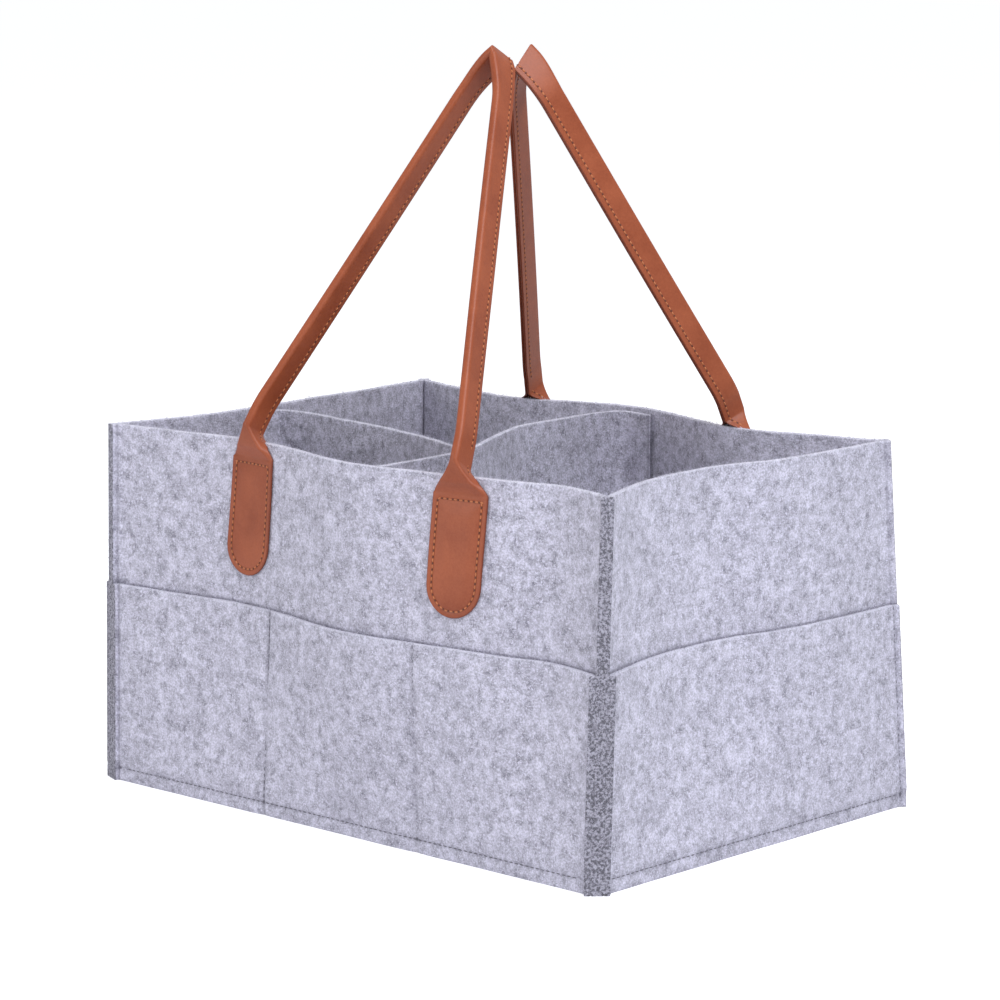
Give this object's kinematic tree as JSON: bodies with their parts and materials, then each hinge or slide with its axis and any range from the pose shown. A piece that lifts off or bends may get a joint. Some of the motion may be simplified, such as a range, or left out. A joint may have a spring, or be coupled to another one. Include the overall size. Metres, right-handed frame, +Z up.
{
  "type": "diaper caddy",
  "caption": "Open felt carrying box with outside pockets, a lift-out divider and folding leather strap handles, for keeping nursery supplies sorted and within reach.",
  "frame": {"origin": "on the floor under the middle of the part's bounding box", "axes": "+Z up; +X along the long sides, to the right seen from the front; +Y from the front wall to the back wall"},
  "size_m": [0.3348, 0.2376, 0.3695],
  "materials": {
    "felt": "pressed felt, mottled light grey with darker fibres",
    "divider_felt": "pressed felt, mottled light grey with darker fibres",
    "hook_tape": "woven hook tape, dull grey",
    "leather": "smooth tan leather with a soft sheen, stitched in matching thread"
  },
  "bodies": {
    "caddy": {"base_panel": "felt", "front_wall": "felt", "back_wall": "felt", "left_wall": "felt", "right_wall": "felt", "front_pocket": "felt", "back_pocket": "felt", "left_pocket": "felt", "right_pocket": "felt", "front_left_tab": "leather", "front_right_tab": "leather", "rear_left_tab": "leather", "rear_right_tab": "leather"},
    "divider": {"cross_divider": "divider_felt", "half_divider": "divider_felt", "front_hook_tape": "hook_tape", "back_hook_tape": "hook_tape", "left_hook_tape": "hook_tape", "middle_hook_tape": "hook_tape"},
    "front_handle": {"front_strap": "leather"},
    "rear_handle": {"rear_strap": "leather"}
  },
  "joints": [
    {"name": "front_handle_hinge", "type": "hinge", "parent": "caddy", "child": "front_handle", "pos_m": [0.00539, -0.10888, 0.1817], "axis": [0.9985, -0.0542, 0], "range_deg": [0, 170]},
    {"name": "rear_handle_hinge", "type": "hinge", "parent": "caddy", "child": "rear_handle", "pos_m": [0.00253, 0.09647, 0.1817], "axis": [-0.9996, 0.0277, 0], "range_deg": [0, 170]},
    {"name": "divider_lift", "type": "slide", "parent": "caddy", "child": "divider", "axis": [0, 0, 1], "range_m": [0, 0.11]}
  ]
}
